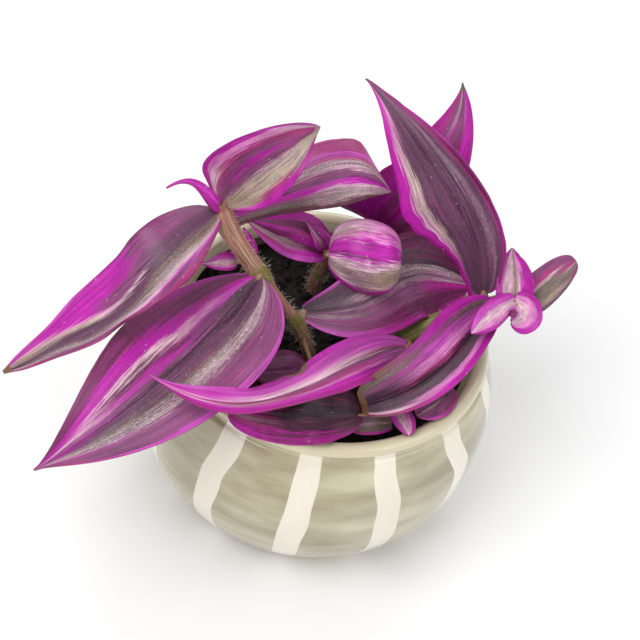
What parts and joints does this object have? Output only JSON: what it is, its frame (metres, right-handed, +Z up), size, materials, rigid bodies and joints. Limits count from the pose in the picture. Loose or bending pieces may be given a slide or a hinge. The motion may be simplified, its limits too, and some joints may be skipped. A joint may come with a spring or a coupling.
{
  "type": "potted tradescantia",
  "caption": "Small houseplant with wide striped magenta and plum leaves in a squat round stoneware pot with pale vertical stripes, standing on a flat foot.",
  "frame": {"origin": "centre of the pot's flat foot", "axes": "+Z up along the pot's axis, -Y towards the side that shows the folded leaf over the front rim"},
  "size_m": [0.1357, 0.1144, 0.1157],
  "materials": {
    "pot_glaze": "glossy sage glaze with pale stripes and a cream rim",
    "potting_mix": "crumbly dark potting mix",
    "stem": "fleshy, ridged, finely haired",
    "leaf_mauve": "waxy, striped grey purple and silver with magenta edges",
    "leaf_magenta": "waxy, striped magenta and pale pink",
    "leaf_plum": "waxy, dark plum with fine silver streaks",
    "leaf_silver": "waxy, silver green",
    "leaf_dried": "papery, dried brown"
  },
  "bodies": {
    "root": {"pot": "pot_glaze", "soil": "potting_mix", "west_stem": "stem", "centre_stem": "stem", "east_stem": "stem", "back_stem": "stem", "front_stem": "stem", "west_drooping_leaf": "leaf_mauve", "west_broad_leaf": "leaf_magenta", "west_top_leaf": "leaf_mauve", "west_curl_leaf": "leaf_magenta", "west_back_leaf": "leaf_mauve", "west_sheath_leaf": "leaf_magenta", "west_small_leaf": "leaf_magenta", "centre_left_leaf": "leaf_magenta", "centre_rolled_leaf": "leaf_magenta", "centre_bud_leaf": "leaf_magenta", "centre_low_leaf": "leaf_plum", "east_tall_leaf": "leaf_mauve", "east_folded_leaf": "leaf_plum", "east_long_leaf": "leaf_magenta", "east_blunt_leaf": "leaf_silver", "east_fan_leaf": "leaf_magenta", "east_curled_leaf": "leaf_magenta", "east_pouch_leaf": "leaf_magenta", "back_tall_leaf": "leaf_magenta", "front_wavy_leaf": "leaf_magenta", "front_small_leaf": "leaf_silver", "front_plum_leaf": "leaf_plum", "front_bud_leaf": "leaf_magenta", "front_low_leaf": "leaf_plum", "dried_leaf": "leaf_dried"}
  },
  "joints": []
}
